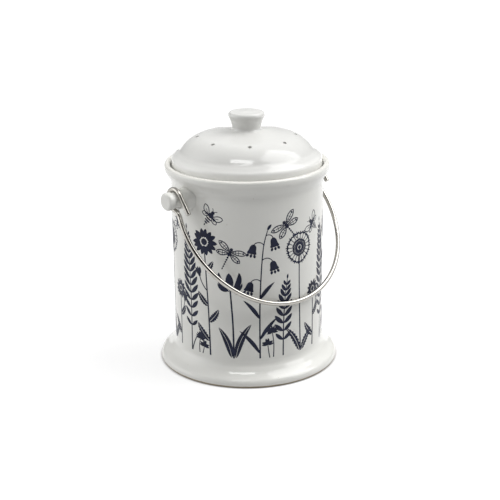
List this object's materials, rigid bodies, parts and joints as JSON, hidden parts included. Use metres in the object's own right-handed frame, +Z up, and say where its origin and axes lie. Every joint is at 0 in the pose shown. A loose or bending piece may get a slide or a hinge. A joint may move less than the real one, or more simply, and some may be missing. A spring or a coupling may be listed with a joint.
{
  "type": "compost keeper",
  "caption": "Ceramic countertop compost keeper: a footed crock with a vented, domed lid over a charcoal filter, and a wire bail that swings on lugs.",
  "frame": {"origin": "on the table, at the centre of the crock's foot", "axes": "+Z up through the crock and its lid; X through both lugs; the bail hangs towards -Y"},
  "size_m": [0.2186, 0.197, 0.2773],
  "materials": {
    "crock_glaze": "glossy white glaze",
    "lid_glaze": "glossy white glaze",
    "bail_steel": "polished stainless steel",
    "carbon_foam": "matte open-cell carbon foam",
    "retainer_plastic": "satin white moulded plastic"
  },
  "bodies": {
    "crock": {"crock": "crock_glaze"},
    "lid": {"lid": "lid_glaze"},
    "bail": {"bail_handle": "bail_steel"},
    "retainer": {"filter_retainer": "retainer_plastic"},
    "filter": {"charcoal_filter": "carbon_foam"}
  },
  "joints": [
    {"name": "lid_lift", "type": "slide", "parent": "crock", "child": "lid", "axis": [0, 0, 1], "range_m": [0, 0.05]},
    {"name": "bail_swing", "type": "hinge", "parent": "crock", "child": "bail", "pos_m": [0, 0, 0.1976], "axis": [-1, 0, 0], "range_deg": [0, 285.4]},
    {"name": "retainer_pull", "type": "slide", "parent": "lid", "child": "retainer", "axis": [0, 0, -1], "range_m": [0, 0.03]},
    {"name": "filter_drop", "type": "slide", "parent": "lid", "child": "filter", "axis": [0, 0, -1], "range_m": [0, 0.03]}
  ],
  "couplings": [
    {"joint": "filter_drop", "follows": "retainer_pull", "ratio": 1}
  ]
}
